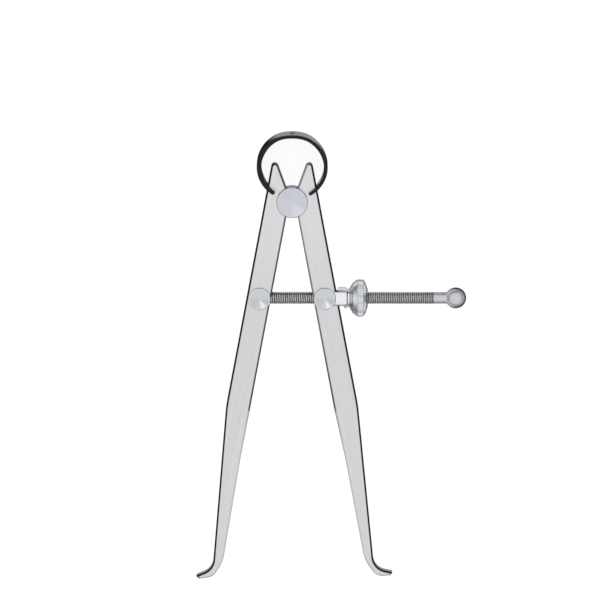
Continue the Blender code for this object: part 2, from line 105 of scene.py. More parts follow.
class Look:
    # the node tree of one material
    def __init__(self, name, owner=None):
        self.material = owner or bpy.data.materials.new(name)
        self.material.use_nodes = True
        self.tree = self.material.node_tree
        self.tree.nodes.clear()

    def node(self, kind, settings=None, values=None, output=0):
        made = self.tree.nodes.new("ShaderNode" + kind)
        for key, value in (settings or {}).items():
            setattr(made, key, value)
        for key, value in (values or {}).items():
            if isinstance(value, Sock):
                self.tree.links.new(value.socket, made.inputs[key])
            else:
                made.inputs[key].default_value = value
        return Sock(self, made.outputs[output]) if made.outputs else None

    def place(self):
        # where a point lies on its own object
        return self.node("TexCoord", output="Object")

    def parts(self, vector):
        split = self.node("SeparateXYZ", values={0: vector})
        sockets = split.socket.node.outputs
        return [Sock(self, socket) for socket in sockets]

    def vector(self, operation, one, two):
        return self.node("VectorMath", {"operation": operation}, {0: one, 1: two})

    def noise(self, vector, scale, detail=3.0, roughness=0.5):
        values = {"Vector": vector, "Scale": scale, "Detail": detail, "Roughness": roughness}
        return self.node("TexNoise", values=values)

    def ramp(self, value, low, high, toLow=0.0, toHigh=1.0):
        values = {0: value, 1: low, 2: high, 3: toLow, 4: toHigh}
        return self.node("MapRange", {"interpolation_type": "SMOOTHSTEP"}, values)

    def mix(self, factor, one, two):
        return self.node("Mix", {"data_type": "RGBA"}, {0: factor, 6: one, 7: two}, 2)

    def metal(self, colour, roughness, settings, relief):
        # bare metal, with its glancing reflections tinted and a fine relief
        bump = {"Strength": settings["bump"], "Distance": settings["bumpDepth"], "Height": relief}
        values = {"Base Color": colour, "Roughness": roughness, "Metallic": 1.0}
        values["Specular Tint"] = settings["glancing"]
        values["Normal"] = self.node("Bump", values=bump)
        return self.finish("BsdfPrincipled", values)

    def finish(self, kind, values):
        self.node("OutputMaterial", values={"Surface": self.node(kind, values=values)})
        return self.material


# Materials

def legSteel(name, settings):
    look = Look(name)
    place = look.node("Attribute", {"attribute_name": "ownPlace"}, output="Vector")
    alongGrain = look.vector("MULTIPLY", place, (1.0, settings["grainStretch"], 1.0))
    grain = look.noise(alongGrain, settings["grainScale"], detail=4.0, roughness=0.65)
    streaks = look.noise(alongGrain, settings["streakScale"], detail=2.0)
    mottle = look.noise(place, settings["mottleScale"], roughness=0.6)
    edge = look.node("Attribute", {"attribute_name": "edge"}, output="Fac")
    shade = look.node("Attribute", {"attribute_name": "shade"}, output="Fac")
    x, lengthwise, z = look.parts(place)
    high = z.maths("ABSOLUTE", z)
    tone = (grain - 0.5) * settings["grainTone"] + (streaks - 0.5) * settings["streakTone"]
    tone = 0.5 + tone + (mottle - 0.5) * settings["mottleTone"]
    headTone = settings["headTone"]
    tone = tone + look.ramp(lengthwise, -settings["headReach"], 0.0, -headTone, headTone)
    faceColour = look.mix(tone, settings["darkColour"], settings["lightColour"])
    # painted shade: the rounded edges and the side walls are darkened in the colour, standing in for dark
    # reflections, as strong as the shade set along the outline
    onEdge = look.ramp(high, settings["wallTo"], settings["wallTo"] + settings["wallFade"])
    edgeShadeStrength = settings["wallShade"] + (shade - settings["wallShade"]) * onEdge
    rim = look.ramp(edge, settings["edgeFrom"], settings["edgeTo"]) * edgeShadeStrength
    colour = look.mix(rim, faceColour, settings["paintedEdgeShadeColour"])
    rough = settings["roughness"] + (grain - 0.5) * settings["grainRough"] + rim * settings["edgeRough"]
    return look.metal(colour, rough, settings, grain)


def turnedSteel(name, settings):
    # lathe-turned metal, with its marks round the local axis that settings name, and painted light and
    # shade where the settings ask for it
    look = Look(name)
    place = look.place()
    x, y, z = look.parts(place)
    across, up, along = {"Z": (x, y, z), "X": (y, z, x)}[settings["axis"]]
    radius = (across * across + up * up) ** 0.5
    rings = radius + along
    markValues = {"W": rings, "Scale": settings["markScale"], "Detail": 3.0, "Roughness": 0.6}
    marks = look.node("TexNoise", {"noise_dimensions": "1D"}, markValues)
    mottle = look.noise(place, settings["mottleScale"], roughness=0.6)
    tone = 0.5 + (marks - 0.5) * settings["markTone"] + (mottle - 0.5) * settings["mottleTone"]
    colour = look.mix(tone, settings["darkColour"], settings["lightColour"])
    aboveZero = 0.00001
    fullWithin = 0.25
    for toward, wide, paintedWedgeColour in settings.get("paintedSheenWedges", ()):
        # each wedge, from the middle outward, is a painted highlight where its colour is light and painted
        # shade where it is dark, standing in for the sheen of the turning marks
        facing = (across * math.cos(toward) + up * math.sin(toward)) / (radius + aboveZero)
        paintedWedge = look.ramp(facing, math.cos(wide), math.cos(wide * fullWithin))
        colour = look.mix(paintedWedge, colour, paintedWedgeColour)
    # painted light and shade over what the edge mark picks out: the bevel colour is a painted highlight;
    # the rim colour is painted shade on the roller, thread and nut, and a painted highlight on the studs
    if "paintedRimColour" in settings:
        edge = look.node("Attribute", {"attribute_name": "edge"}, output="Fac")
        bevelled = look.ramp(edge, 0.0, settings["bevelTo"])
        colour = look.mix(bevelled, colour, settings["bevelHighlightColour"])
        onRim = look.ramp(edge, settings["rimFrom"], settings["rimTo"])
        colour = look.mix(onRim, colour, settings["paintedRimColour"])
    rough = settings["roughness"] + (mottle - 0.5) * settings["mottleRough"]
    return look.metal(colour, rough, settings, marks)


def blackSpring(name, settings):
    look = Look(name)
    place = look.place()
    grain = look.noise(place, settings["grainScale"], roughness=0.6)
    patches = look.noise(place, settings["patchScale"], detail=2.0)
    colour = look.mix(patches, settings["darkColour"], settings["lightColour"])
    rough = settings["roughness"] + (patches - 0.5) * settings["roughSpread"]
    return look.metal(colour, rough, settings, grain)


# Mesh making

def addObject(name, data, place=(0, 0, 0), turn=(0, 0, 0)):
    obj = bpy.data.objects.new(name, data)
    obj.location = place
    obj.rotation_euler = turn
    bpy.context.scene.collection.objects.link(obj)
    return obj


def meshFrom(name, bm):
    mesh = bpy.data.meshes.new(name)
    bm.to_mesh(mesh)
    bm.free()
    return mesh


def markSharp(mesh, sharp):
    mesh.shade_smooth()
    mesh.set_sharp_from_angle(angle=math.radians(sharp))


def weighNormals(obj):
    # lets the large faces set the shading normals
    weighted = obj.modifiers.new("normals", "WEIGHTED_NORMAL")
    weighted.keep_sharp = True
    return obj


def finishObject(name, bm, material, place=(0, 0, 0), tilt=0.0, sharp=sharpAngle):
    bmesh.ops.recalc_face_normals(bm, faces=bm.faces)
    mesh = meshFrom(name, bm)
    mesh.materials.append(material)
    markSharp(mesh, sharp)
    return addObject(name, mesh, place, (0, 0, tilt))


def carve(target, name, bm, place=(0, 0, 0)):
    # cuts a shape, placed in the target's own frame, out of the target
    bmesh.ops.recalc_face_normals(bm, faces=bm.faces)
    cutter = addObject(name, meshFrom(name, bm), place)
    cutter.parent = target
    boolean = target.modifiers.new(name, "BOOLEAN")
    boolean.operation = "DIFFERENCE"
    boolean.solver = "EXACT"
    boolean.object = cutter


def settle(obj, sharp=sharpAngle):
    # fixes the cuts into the mesh
    bpy.context.view_layer.update()
    depsgraph = bpy.context.evaluated_depsgraph_get()
    mesh = bpy.data.meshes.new_from_object(obj.evaluated_get(depsgraph))
    cutters = [modifier.object for modifier in obj.modifiers if modifier.type == "BOOLEAN"]
    obj.modifiers.clear()
    for cutter in cutters:
        bpy.data.objects.remove(cutter, do_unlink=True)
    obj.data = mesh
    markSharp(mesh, sharp)
    return weighNormals(obj)


def squareUp(obj):
    # turns the mesh in place of its object, and keeps each point's own place for the grain
    mesh = obj.data
    own = mesh.attributes.new("ownPlace", "FLOAT_VECTOR", "POINT")
    own.data.foreach_set("vector", [value for vert in mesh.vertices for value in vert.co])
    mesh.transform(obj.matrix_basis.to_3x3().to_4x4())
    obj.rotation_euler = (0, 0, 0)
    return obj


def roundedOutline(corners, inset=0.0, arcStep=4.0, spots=None):
    # points of a closed anticlockwise outline of (x, y, round) corners, moved in by inset
    # spots, if given, collects each point's corner and how far along that corner's arc it lies
    leastRound = 0.00004
    leastArcs = 6
    points = [Vector(corner[:2]) for corner in corners]
    count = len(points)
    lines = []
    for i, start in enumerate(points):
        along = (points[(i + 1) % count] - start).normalized()
        inward = Vector((-along.y, along.x))
        lines.append((start + inward * inset, along))
    outline = []
    for i, corner in enumerate(corners):
        startIn, alongIn = lines[i - 1]
        startOut, alongOut = lines[i]
        turn = -alongIn.angle_signed(alongOut)
        step = (startOut - startIn).cross(alongOut) / alongIn.cross(alongOut)
        apex = startIn + alongIn * step
        bend = 1 if turn > 0 else -1
        radius = max(corner[2] - bend * inset, leastRound)
        if corner[2] == 0:
            outline.append(apex)
            if spots is not None:
                spots.append((i, 0.0))
            continue
        centre = apex - alongIn * (radius * abs(math.tan(turn / 2)))
        centre += Vector((-alongIn.y, alongIn.x)) * radius * bend
        first = math.atan2(alongIn.y, alongIn.x) - bend * math.pi / 2
        arcs = max(leastArcs, math.ceil(abs(turn) / math.radians(arcStep)))
        for k in range(arcs + 1):
            angle = first + turn * k / arcs
            outline.append(centre + Vector((math.cos(angle), math.sin(angle))) * radius)
            if spots is not None:
                spots.append((i, k / arcs))
    return outline


def loft(layers):
    # a closed solid through outlines of equal length, each a (height, points) pair
    bm = bmesh.new()
    rings = [[bm.verts.new((point[0], point[1], height)) for point in points] for height, points in layers]
    for lower, upper in zip(rings, rings[1:]):
        for i in range(len(lower)):
            j = (i + 1) % len(lower)
            bm.faces.new((lower[i], lower[j], upper[j], upper[i]))
    bm.faces.new(reversed(rings[0]))
    bm.faces.new(rings[-1])
    return bm


def turned(profile, axis="Z", steps=128, shape=None):
    # a solid of revolution from (along, radius) pairs, with both ends on the axis or closed round a bore
    bm = bmesh.new()
    rings = []
    for along, radius in profile:
        ring = []
        for k in range(1 if radius == 0 else steps):
            reach = shape(along, radius, k) if shape else radius
            angle = 2 * math.pi * k / steps
            across = reach * math.cos(angle)
            up = reach * math.sin(angle)
            spot = {"X": (along, across, up), "Y": (up, along, across), "Z": (across, up, along)}[axis]
            ring.append(bm.verts.new(spot))
        rings.append(ring)
    pairs = list(zip(rings, rings[1:]))
    if profile[0][1] > 0:
        pairs.append((rings[-1], rings[0]))
    for one, two in pairs:
        for k in range(steps):
            m = (k + 1) % steps
            corners = [one[k % len(one)], one[m % len(one)], two[m % len(two)], two[k % len(two)]]
            bm.faces.new(list(dict.fromkeys(corners)))
    return bm


def cylinder(radius, low, high, axis="Z", steps=96):
    return turned([(low, 0), (low, radius), (high, radius), (high, 0)], axis, steps)


def roundedProfile(corners, arcStep=12.0):
    return [(point.x, point.y) for point in roundedOutline(corners, 0.0, arcStep)]


def markPoints(obj, name, values):
    # keeps one value for each point of a finished mesh, for its look to read
    marks = obj.data.attributes.new(name, "FLOAT", "POINT")
    marks.data.foreach_set("value", values)
    return obj


def markRim(obj, radius, rounding, face):
    # 0 to 1 outward over the rounded rim of a flat round face that looks along Z; the look paints light
    # and shade onto the rim from it
    values = []
    for vert in obj.data.vertices:
        out = (vert.co.xy.length - radius + rounding) / rounding
        onRim = abs(vert.co.z) > face - rounding and vert.co.xy.length < radius + rounding
        values.append(min(max(out, 0.0), 1.0) if onRim else 0.0)
    return markPoints(obj, "edge", values)


def replaceNode(obj, body, node):
    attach(obj, body)
    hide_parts(node)


# Legs

legs = {
    "tilt": math.radians(10.65),
    "closing": math.radians(10.0),
    "opening": math.radians(17.0),
    "thick": 0.0048,
    "inner": 0.00092,
    "outer": 0.00862,
    "edgeRound": 0.0005,
    "edgeOver": 0.00014,
    "edgeSteps": 8,
    "sideGap": 0.00015,
    "kneeDown": 0.0685,
    "kneeRound": 0.050,
    "shinDown": 0.085,
    "shinRound": 0.100,
    "shinOut": {left: 0.00095, right: 0.00145},
    "tipSlope": math.radians(30.75),
    "tipInner": 0.0001,
    "tipRound": 0.00115,
    "ankleDown": 0.1195,
    "ankleOut": {left: 0.0021, right: 0.00286},
    "toeDrop": {left: math.radians(22.5), right: math.radians(19.5)},
    "studDown": 0.0324,
    "studOut": 0.0045,
    "studHole": 0.00288,
    "notchRadius": 0.00228,
    "seatGap": 0.0003,
    "slotHalfWide": 0.00225,
    "slotHalfHigh": 0.00205,
    "slotReach": 0.02,
    # strength of the painted edge shade, given at the tip, knee, toe and sole corners
    "tipShade": {left: 0.85, right: 0.5},
    "kneeShades": (0.9, 0.35),
    "toeShade": 0.7,
    "soleShade": 0.12,
    "look": {
        "grainStretch": 0.03,
        "grainScale": 2600.0,
        "streakScale": 700.0,
        "mottleScale": 900.0,
        "headReach": 0.035,
        "headTone": 0.13,
        "grainTone": 0.55,
        "streakTone": 0.5,
        "mottleTone": 0.5,
        "darkColour": (0.585, 0.585, 0.60, 1.0),
        "lightColour": (0.75, 0.75, 0.765, 1.0),
        "glancing": (0.35, 0.35, 0.36, 1.0),
        # painted shade along the rounded edges and side walls: where it starts and ends on the edge mark,
        # its near-black colour, and how much the walls get
        "edgeFrom": 0.02,
        "edgeTo": 0.20,
        "paintedEdgeShadeColour": (0.018, 0.018, 0.020, 1.0),
        "wallTo": 0.00185,
        "wallFade": 0.0001,
        "wallShade": 0.32,
        "roughness": 0.36,
        "grainRough": 0.18,
        "edgeRough": 0.05,
        "bump": 0.25,
        "bumpDepth": 0.00003,
    },
}

foot = {
    "toeReach": {left: 0.0074, right: 0.0077},
    "toeEndThick": 0.0012,
    "toeTop": {left: -0.0021, right: -0.00134},
    "toeEndRound": 0.0004,
    "toeEndBack": {left: 0.00095, right: 0.0006},
    "toeTipRound": 0.00024,
    "instepOut": 0.0016,
    "instepUp": -0.00106,
    "instepRound": 0.0048,
    "soleOut": {left: 0.0021, right: 0.0027},
    "soleDown": 0.0035,
    "soleRound": {left: 0.0028, right: 0.0040},
    "heelBack": 0.0019,
    "heelUp": {left: -0.0001, right: 0.00106},
    "heelRound": 0.012,
}


def legCorners(side):
    # each corner is across, up, its rounding, and how dark the painted edge shade is before and after it
    ankle = Vector((legs["ankleOut"][side], -legs["ankleDown"]))
    drop = -legs["toeDrop"][side]
    toeward = Vector((math.cos(drop), math.sin(drop)))
    upward = Vector((-toeward.y, toeward.x))

    def onFoot(out, up, rounding, *shades):
        spot = ankle + toeward * out + upward * up
        return (spot.x, spot.y, rounding, *shades)

    toeReach = foot["toeReach"][side]
    toeTop = foot["toeTop"][side]
    toeBack = foot["toeEndBack"][side]
    soleRound = foot["soleRound"][side]
    tipShade = legs["tipShade"][side]
    low = legs["soleShade"]
    toeUnder = toeTop - foot["toeEndThick"]
    tipBack = legs["tipInner"] / math.cos(legs["tipSlope"])
    tipUp = (legs["outer"] - tipBack) / math.tan(legs["tipSlope"])
    notchUp = (legs["inner"] - tipBack) / math.tan(legs["tipSlope"])
    return [
        (legs["outer"], tipUp, legs["tipRound"], 1.0, tipShade),
        (legs["inner"], notchUp, 0, tipShade, tipShade),
        (legs["inner"], -legs["kneeDown"], legs["kneeRound"], *legs["kneeShades"]),
        (legs["shinOut"][side], -legs["shinDown"], legs["shinRound"], low, low),
        onFoot(-foot["heelBack"], foot["heelUp"][side], foot["heelRound"], low, low),
        onFoot(foot["soleOut"][side], -foot["soleDown"], soleRound, low, low),
        onFoot(toeReach - toeBack, toeUnder, foot["toeEndRound"], low, legs["toeShade"]),
        onFoot(toeReach, toeTop, foot["toeTipRound"], 1.0, 1.0),
        onFoot(foot["instepOut"], foot["instepUp"], foot["instepRound"], 1.0, 1.0),
        (legs["outer"], -legs["kneeDown"], legs["kneeRound"], 1.0, 1.0),
    ]


def inLegFrame(side, spot):
    turn = -side * legs["tilt"]
    across = spot.x * math.cos(turn) - spot.y * math.sin(turn)
    up = spot.x * math.sin(turn) + spot.y * math.cos(turn)
    return Vector((across, up, 0))


def fan(side, away):
    # plan of the room that the screw sweeps inside a leg, on one side of the stud
    wide = legs["slotHalfWide"]
    ends = []
    tilts = ((legs["tilt"] - legs["closing"], -1), (legs["tilt"] + legs["opening"], 1))
    for tilt, edge in tilts:
        angle = -side * tilt + (0 if away > 0 else math.pi)
        ray = Vector((math.cos(angle), math.sin(angle)))
        beside = Vector((-ray.y, ray.x)) * wide * edge * -side
        ends.append((beside, beside + ray * legs["slotReach"]))
    return [ends[0][0], ends[0][1], ends[1][1], ends[1][0]]


def markEdges(leg, corners):
    # how near each point is to the leg's outline, and how dark the painted edge shade is there
    spots = []
    outline = numpy.array([tuple(point) for point in roundedOutline(corners, spots=spots)])
    ends = [(corners[i][3], corners[i][4], share) for i, share in spots]
    shades = numpy.array([before + (after - before) * share for before, after, share in ends])
    points = numpy.array([tuple(vert.co.xy) for vert in leg.data.vertices])
    steps = numpy.roll(outline, -1, axis=0) - outline
    away = points[:, None] - outline
    shares = numpy.clip((away * steps).sum(axis=2) / (steps * steps).sum(axis=1), 0.0, 1.0)
    gaps = numpy.linalg.norm(away - shares[..., None] * steps, axis=2)
    nearest = gaps.argmin(axis=1)
    rows = numpy.arange(len(points))
    gap = gaps[rows, nearest]
    share = shares[rows, nearest]
    shade = shades[nearest] * (1 - share) + numpy.roll(shades, -1)[nearest] * share
    band = legs["edgeRound"] + legs["edgeOver"]
    markPoints(leg, "edge", numpy.clip(1 - gap / band, 0.0, 1.0))
    return markPoints(leg, "shade", shade)


def makeLeg(name, side, material):
    corners = legCorners(side)
    if side == left:
        flipped = reversed(corners)
        corners = [(-out, up, rounding, after, before) for out, up, rounding, before, after in flipped]
    half = legs["thick"] / 2
    edge = legs["edgeRound"]
    steps = legs["edgeSteps"]
    layers = [(half, roundedOutline(corners, edge + legs["edgeOver"]))]
    for k in range(steps + 1):
        angle = math.pi / 2 * (1 - k / steps)
        inset = edge * (1 - math.cos(angle))
        layers.append((half - edge * (1 - math.sin(angle)), roundedOutline(corners, inset)))
    layers = [(-height, points) for height, points in layers] + layers[::-1]
    leg = finishObject(name, loft(layers), material, pivot, side * legs["tilt"])
    deep = legs["thick"]
    carve(leg, name + "Notch", cylinder(legs["notchRadius"], -deep, deep))
    root = forkDrop(side)
    seat = inLegFrame(side, bowPoint(side, root))
    seatRadius = bowThick(side, root) / 2 + legs["seatGap"]
    carve(leg, name + "Seat", cylinder(seatRadius, -deep, deep), seat)
    studSpot = (side * legs["studOut"], -legs["studDown"], 0)
    carve(leg, name + "StudHole", cylinder(legs["studHole"], -deep, deep), studSpot)
    slotHigh = legs["slotHalfHigh"]
    ways = (-side,) if side == left else (-side, side)
    for way in ways:
        plan = fan(side, way)
        slotName = name + ("Slot" if way < 0 else "OuterSlot")
        carve(leg, slotName, loft([(-slotHigh, plan), (slotHigh, plan)]), studSpot)
    return squareUp(markEdges(settle(leg), corners))


# Pivot roller

roller = {
    "inner": 0.00255,
    "outer": 0.0034,
    "radius": 0.0022,
    "flangeRadius": 0.00498,
    "rimRound": 0.00055,
    "flangeRound": 0.00006,
    "coreRound": 0.0002,
    "look": {
        "axis": "Z",
        "glancing": (0.9, 0.9, 0.92, 1.0),
        # painted highlight on the inner part of the rounded rim, painted shade on its outer part
        "bevelTo": 0.3,
        "bevelHighlightColour": (0.82, 0.83, 0.85, 1.0),
        "paintedRimColour": (0.56, 0.56, 0.59, 1.0),
        "rimFrom": 0.20,
        "rimTo": 0.40,
        "markScale": 6000.0,
        "mottleScale": 1400.0,
        "markTone": 0.35,
        "mottleTone": 0.35,
        "darkColour": (0.51, 0.52, 0.575, 1.0),
        "lightColour": (0.645, 0.655, 0.72, 1.0),
        # painted wedges on the face: a cooler, slightly darker one as painted shade, a lighter one as
        # painted highlight
        "paintedSheenWedges": (
            (math.radians(115), math.radians(40), (0.56, 0.57, 0.65, 1.0)),
            (math.radians(-60), math.radians(40), (0.65, 0.66, 0.72, 1.0)),
        ),
        "roughness": 0.33,
        "mottleRough": 0.10,
        "bump": 0.12,
        "bumpDepth": 0.00002,
    },
}


def makeRoller(material):
    outer = roller["outer"]
    inner = roller["inner"]
    flange = roller["flangeRadius"]
    rimRound = roller["rimRound"]
    corners = [
        (outer, 0.0, 0),
        (outer, flange, rimRound),
        (inner, flange, roller["flangeRound"]),
        (inner, roller["radius"], roller["coreRound"]),
    ]
    corners += [(-along, radius, rounding) for along, radius, rounding in reversed(corners)]
    corners.reverse()
    obj = settle(finishObject("pivotRoller", turned(roundedProfile(corners)), material, pivot))
    return markRim(obj, flange, rimRound, outer)


# Bow spring

bow = {
    "centreUp": 0.0108,
    "outerRadius": 0.01145,
    "crownFlat": 0.00030,
    "flatSpread": math.radians(34.0),
    "crownThick": 0.00108,
    "sideThick": {left: 0.00152, right: 0.00124},
    "endThick": {left: 0.00128, right: 0.00098},
    "crownWidth": 0.0119,
    "endWidth": 0.0077,
    "endDrop": {left: math.radians(54.5), right: math.radians(56.5)},
    "thinDrop": math.radians(10.0),
    "curlFrom": {left: math.radians(-25.0), right: math.radians(-15.0)},
    "curlTo": {left: math.radians(80.0), right: math.radians(85.0)},
    "curlIn": {left: 0.00135, right: 0.00145},
    "seatOut": 0.0003,
    "seatStep": math.radians(0.25),
    "forkPast": math.radians(12),
    "edgeRound": 0.00012,
    "arcStep": 18.0,
    "steps": 150,
    "leastEnd": 0.25,
    "mostRound": 0.8,
    "holeRadius": 0.0011,
    "holeReach": 0.02,
    "holeSteps": 48,
    "look": {
        "grainScale": 3500.0,
        "patchScale": 500.0,
        "darkColour": (0.014, 0.014, 0.016, 1.0),
        "lightColour": (0.034, 0.033, 0.032, 1.0),
        "glancing": (0.82, 0.83, 0.84, 1.0),
        "roughness": 0.30,
        "roughSpread": 0.12,
        "bump": 0.15,
        "bumpDepth": 0.00003,
    },
}


def ease(value):
    value = min(max(value, 0.0), 1.0)
    return value * value * (3 - 2 * value)


def bowThick(side, drop):
    sideThick = bow["sideThick"][side]
    crownShare = ease(-drop / (math.pi / 2))
    endShare = ease((drop - bow["thinDrop"]) / (bow["endDrop"][side] - bow["thinDrop"]))
    thick = sideThick + (bow["crownThick"] - sideThick) * crownShare
    return thick + (bow["endThick"][side] - sideThick) * endShare


def bowWidth(side, drop):
    share = (drop + math.pi / 2) / (bow["endDrop"][side] + math.pi / 2)
    return bow["crownWidth"] + (bow["endWidth"] - bow["crownWidth"]) * ease(share)


def bowPoint(side, drop, outward=0.0):
    curlFrom = bow["curlFrom"][side]
    curl = bow["curlIn"][side] * ease((drop - curlFrom) / (bow["curlTo"][side] - curlFrom))
    flat = bow["crownFlat"] * ease(1 - (drop + math.pi / 2) / bow["flatSpread"])
    radius = bow["outerRadius"] - flat - bowThick(side, drop) / 2 - curl + outward
    return Vector((side * radius * math.cos(drop), bow["centreUp"] - radius * math.sin(drop), 0))


def forkDrop(side):
    drop = 0.0
    while side * inLegFrame(side, bowPoint(side, drop)).x > legs["outer"] + bow["seatOut"]:
        drop += bow["seatStep"]
    return drop


def makeBow(material):
    steps = bow["steps"]
    rounding = bow["edgeRound"]
    stations = []
    for side in (right, left):
        endDrop = bow["endDrop"][side]
        half = [(side, endDrop - (endDrop + math.pi / 2) * k / steps) for k in range(steps + 1)]
        stations += half if side == right else half[-2::-1]
    bm = bmesh.new()
    rings = []
    for side, drop in stations:
        thick = bowThick(side, drop)
        fromEnd = (bow["endDrop"][side] - drop) * bow["outerRadius"]
        taper = min(1.0, fromEnd / (thick / 2))
        reach = thick / 2 * max(bow["leastEnd"], math.sqrt(1 - (1 - taper) ** 2))
        small = min(rounding, reach * bow["mostRound"])
        wide = bowWidth(side, drop) / 2
        ways = ((reach, -wide), (reach, wide), (-reach, wide), (-reach, -wide))
        corners = [(outward, along, small) for outward, along in ways]
        ring = []
        for point in roundedOutline(corners, 0.0, bow["arcStep"]):
            spot = bowPoint(side, drop, point.x)
            spot.z = point.y
            ring.append(bm.verts.new(spot))
        rings.append(ring)
    for one, two in zip(rings, rings[1:]):
        for k in range(len(one)):
            m = (k + 1) % len(one)
            bm.faces.new((one[k], one[m], two[m], two[k]))
    bm.faces.new(rings[0])
    bm.faces.new(reversed(rings[-1]))
    whole = finishObject("bowSpring", bm, material, pivot)
    half = legs["thick"] / 2 + legs["sideGap"]
    beside = max(bow["sideThick"].values()) * 2
    for side in (left, right):
        root = forkDrop(side)
        past = bow["endDrop"][side] + bow["forkPast"]
        spots = ((root, -beside), (root, beside), (past, beside), (past, -beside))
        plan = [bowPoint(side, drop, outward).xy for drop, outward in spots]
        carve(whole, "bowFork" + str(side), loft([(-half, plan), (half, plan)]))
    holeFrom = bow["centreUp"]
    hole = cylinder(bow["holeRadius"], holeFrom, holeFrom + bow["holeReach"], "Y", bow["holeSteps"])
    carve(whole, "bowHole", hole)
    return settle(whole)


def halfOfBow(whole, name, side):
    mesh = whole.data.copy()
    bm = bmesh.new()
    bm.from_mesh(mesh)
    cut = bm.verts[:] + bm.edges[:] + bm.faces[:]
    bmesh.ops.bisect_plane(bm, geom=cut, plane_co=(0, 0, 0), plane_no=(side, 0, 0), clear_inner=True)
    bm.to_mesh(mesh)
    bm.free()
    return weighNormals(addObject(name, mesh, whole.location))


# Swivel studs, with the washers riveted on behind

stud = {
    "headBack": 0.00255,
    "headThick": 0.00085,
    "headRadius": 0.0035,
    "headRound": 0.00045,
    "shankRadius": 0.0028,
    "shoulder": -0.0024,
    "tenonRadius": 0.0016,
    "rivetRadius": 0.0021,
    "rivetThick": 0.0004,
    "washerRadius": 0.0034,
    "washerThick": 0.0007,
    "washerBevel": 0.0002,
    "runningGap": 0.00008,
    "bore": 0.00205,
    "boreReach": 0.02,
    "cornerRound": 0.00005,
    "rivetRound": 0.0003,
    "washerRound": 0.0001,
    "look": {
        "axis": "Z",
        "glancing": (0.65, 0.65, 0.67, 1.0),
        # the rounded rim is painted lighter than the face, a painted highlight
        "bevelTo": 0.3,
        "bevelHighlightColour": (0.74, 0.75, 0.77, 1.0),
        "paintedRimColour": (0.74, 0.75, 0.77, 1.0),
        "rimFrom": 0.5,
        "rimTo": 0.70,
        "markScale": 5000.0,
        "mottleScale": 1500.0,
        "markTone": 0.4,
        "mottleTone": 0.35,
        "darkColour": (0.49, 0.505, 0.53, 1.0),
        "lightColour": (0.66, 0.68, 0.71, 1.0),
        # painted wedges on the face: two darker ones as painted shade, one bright one as painted highlight
        "paintedSheenWedges": (
            (math.radians(-150), math.radians(45), (0.54, 0.53, 0.55, 1.0)),
            (math.radians(-20), math.radians(26), (0.50, 0.51, 0.54, 1.0)),
            (math.radians(-64), math.radians(24), (0.80, 0.81, 0.85, 1.0)),
        ),
        "roughness": 0.30,
        "mottleRough": 0.10,
        "bump": 0.2,
        "bumpDepth": 0.00002,
    },
}


def makeStud(name, place, boreFrom, material):
    face = stud["headBack"] + stud["headThick"]
    headRound = stud["headRound"]
    washerBack = -stud["headBack"] - stud["washerThick"]
    rivet = washerBack - stud["runningGap"]
    rivetBack = rivet - stud["rivetThick"]
    corners = [(face, 0.0, 0), (face, stud["headRadius"], headRound)]
    steps = (
        (stud["headBack"], stud["headRadius"]),
        (stud["headBack"], stud["shankRadius"]),
        (stud["shoulder"], stud["shankRadius"]),
        (stud["shoulder"], stud["tenonRadius"]),
        (rivet, stud["tenonRadius"]),
        (rivet, stud["rivetRadius"]),
    )
    corners += [(along, radius, stud["cornerRound"]) for along, radius in steps]
    corners += [(rivetBack, stud["tenonRadius"], stud["rivetRound"]), (rivetBack, 0.0, 0)]
    corners.reverse()
    obj = finishObject(name, turned(roundedProfile(corners)), material, place)
    carve(obj, name + "Bore", cylinder(stud["bore"], boreFrom, stud["boreReach"], "X"))
    return markRim(settle(obj), stud["headRadius"], headRound, face)


def makeWasher(name, place, material):
    bore = stud["tenonRadius"] + stud["runningGap"]
    front = -stud["headBack"]
    back = front - stud["washerThick"]
    bevel = stud["washerBevel"]
    radius = stud["washerRadius"]
    rounding = stud["washerRound"]
    corners = [
        (front, bore, stud["cornerRound"]),
        (front, radius, rounding),
        (back + bevel, radius, rounding),
        (back, radius - bevel, rounding),
        (back, bore, stud["cornerRound"]),
    ]
    corners.reverse()
    return settle(finishObject(name, turned(roundedProfile(corners)), material, place))


# Adjusting screw: a real M4 helix, a plain neck and the ball

